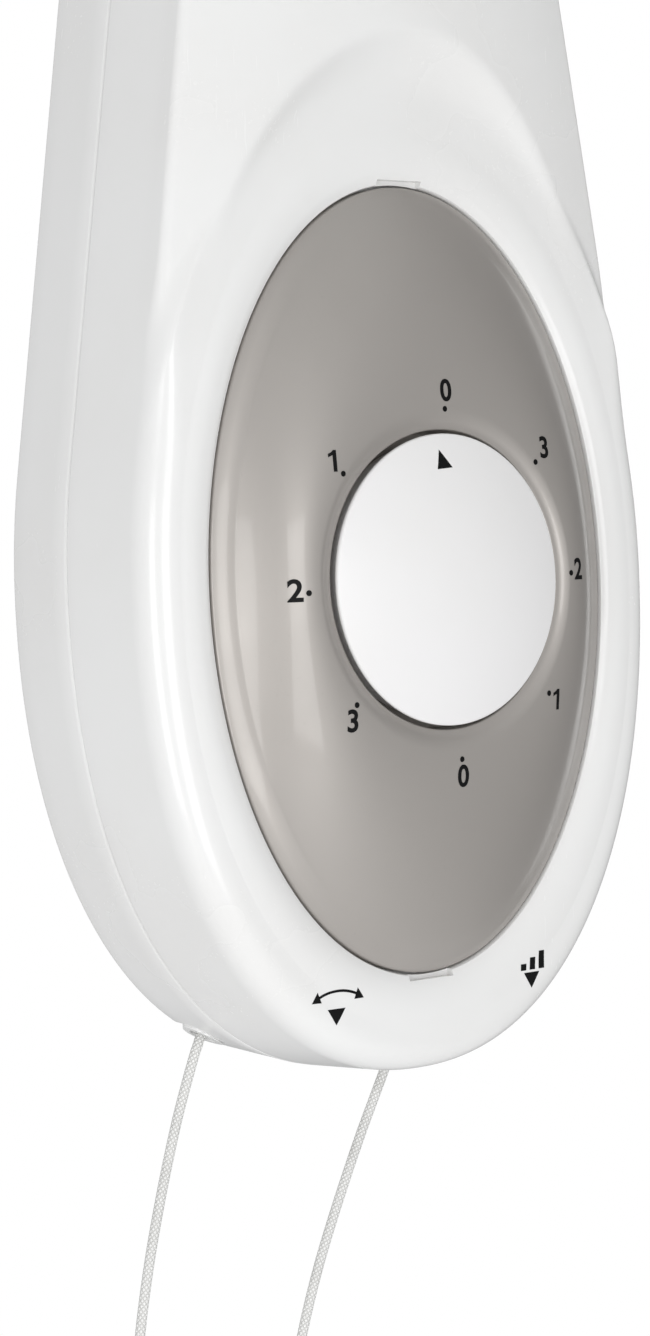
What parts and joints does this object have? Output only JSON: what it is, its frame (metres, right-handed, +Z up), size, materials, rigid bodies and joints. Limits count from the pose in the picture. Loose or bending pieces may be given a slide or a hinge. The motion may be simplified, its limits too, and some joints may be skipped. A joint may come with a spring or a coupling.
{
  "type": "wall mounted fan",
  "caption": "Wall mounted fan with an oval pull-cord control housing, a forward-leaning neck and a caged, tilting and swinging fan head.",
  "frame": {"origin": "on the wall plane, at the middle of the wall bracket's back face", "axes": "+Z up, +Y into the wall, so the fan faces -Y, +X to the right as seen from the room"},
  "size_m": [0.4362, 0.2919, 0.8344],
  "materials": {
    "white_shell": "glossy white moulding",
    "dial_grey": "glossy warm grey moulding",
    "white_knob": "glossy white moulding",
    "black_plastic": "matt black moulding",
    "blade_plastic": "smooth pale blue-grey moulding",
    "cord": "braided white cord",
    "rubber": "black rubber",
    "zinc_steel": "zinc plated steel",
    "white_wire": "white coated wire",
    "cast_aluminium": "as cast",
    "winding": "varnished copper winding on a steel core",
    "lamination": "bare steel lamination"
  },
  "bodies": {
    "housing": {"wall_bracket": "zinc_steel", "rear_shell": "white_shell", "front_shell": "white_shell", "shell_screw_1": "zinc_steel", "shell_screw_2": "zinc_steel", "shell_screw_3": "zinc_steel", "shell_screw_4": "zinc_steel", "dial_plate": "dial_grey", "speed_switch": "black_plastic", "swing_switch": "black_plastic", "terminal_block": "white_knob", "capacitor": "black_plastic", "cable_grommet": "rubber", "swing_guide": "white_shell", "speed_guide": "white_shell", "pivot_bracket": "cast_aluminium", "tilt_bolt": "zinc_steel"},
    "dial_knob": {"speed_knob": "white_knob", "switch_spindle": "cast_aluminium"},
    "swing_pull": {"swing_plunger": "black_plastic", "swing_cord": "cord", "swing_bell": "white_knob"},
    "speed_pull": {"speed_plunger": "black_plastic", "speed_cord": "cord", "speed_bell": "white_knob"},
    "clamp_knob": {"tilt_knob": "white_knob"},
    "yoke": {"tilt_yoke": "white_shell", "swing_motor": "zinc_steel"},
    "head": {"head_bracket": "white_shell", "motor_rear_cover": "white_shell", "motor_front_cover": "white_shell", "rear_shield": "cast_aluminium", "front_shield": "cast_aluminium", "stator": "winding", "rear_guard": "white_wire", "guard_nut": "white_knob", "front_guard": "white_wire", "guard_badge": "white_knob", "guard_band": "white_shell", "band_screw": "zinc_steel", "band_nut": "zinc_steel"},
    "rotor": {"rotor_core": "lamination", "motor_shaft": "zinc_steel", "fan_blade": "blade_plastic", "spinner_nut": "white_knob"}
  },
  "joints": [
    {"name": "speed_dial", "type": "hinge", "parent": "housing", "child": "dial_knob", "pos_m": [0, -0.05, -0.06], "axis": [0, 1, 0], "continuous": true},
    {"name": "swing_pull_slide", "type": "slide", "parent": "housing", "child": "swing_pull", "axis": [0, 0, -1], "range_m": [0, 0.012], "stiffness_N_per_m": 250, "springref_m": -0.004},
    {"name": "speed_pull_slide", "type": "slide", "parent": "housing", "child": "speed_pull", "axis": [0, 0, -1], "range_m": [0, 0.012], "stiffness_N_per_m": 250, "springref_m": -0.004},
    {"name": "clamp_turn", "type": "hinge", "parent": "housing", "child": "clamp_knob", "pos_m": [0.03, -0.109, 0.172], "axis": [1, 0, 0], "range_deg": [0, 180]},
    {"name": "head_tilt", "type": "hinge", "parent": "housing", "child": "yoke", "pos_m": [0, -0.109, 0.172], "axis": [1, 0, 0], "range_deg": [-10, 25]},
    {"name": "head_swing", "type": "hinge", "parent": "yoke", "child": "head", "pos_m": [0, -0.126, 0.222], "axis": [0, 0, 1], "range_deg": [-40, 40]},
    {"name": "blade_spin", "type": "hinge", "parent": "head", "child": "rotor", "pos_m": [0, -0.2, 0.29], "axis": [0, 1, 0], "continuous": true}
  ]
}
